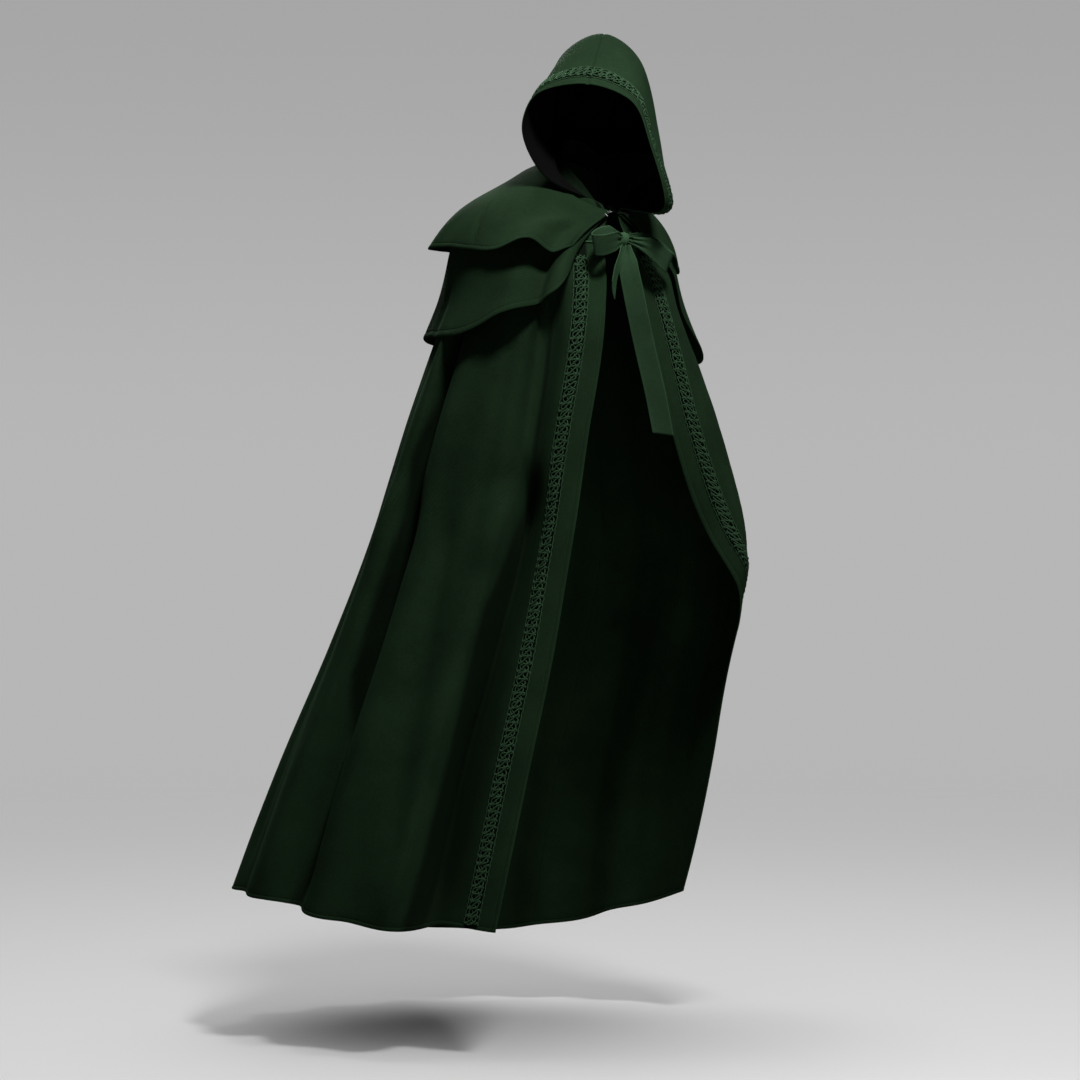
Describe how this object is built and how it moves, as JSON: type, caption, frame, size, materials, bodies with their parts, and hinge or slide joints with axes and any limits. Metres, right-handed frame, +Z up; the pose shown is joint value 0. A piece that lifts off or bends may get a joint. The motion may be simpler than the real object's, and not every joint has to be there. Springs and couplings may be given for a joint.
{
  "type": "hooded wool cloak",
  "caption": "Long dark green wool cloak with a raised hood, tiered shoulder capelet, braided trim on the fronts and hood, and a ribbon bow at the throat, swung back as worn.",
  "frame": {"origin": "centre of the neckline, where the neck and shoulders of a wearer hold the cloak up", "axes": "+Z up, the front of the neckline faces -Y, the cloak's right front is towards -X"},
  "size_m": [0.8378, 0.7953, 1.7154],
  "materials": {
    "wool": "fulled wool with a soft short nap, matte",
    "braid": "braided cord with a slight sheen",
    "tie": "folded wool ribbon, matte"
  },
  "bodies": {
    "root": {"cloak_front_right": "wool", "cloak_back": "wool", "cloak_front_left": "wool", "capelet_lower": "wool", "capelet_upper": "wool", "hood_right": "wool", "hood_left": "wool", "collar": "wool", "braid_front_right": "braid", "braid_front_left": "braid", "braid_hood": "braid", "tie_loop_right": "tie", "tie_loop_left": "tie", "tie_tail_long": "tie", "tie_tail_short": "tie", "tie_band_right": "tie", "tie_band_left": "tie", "tie_knot": "tie"}
  },
  "joints": []
}
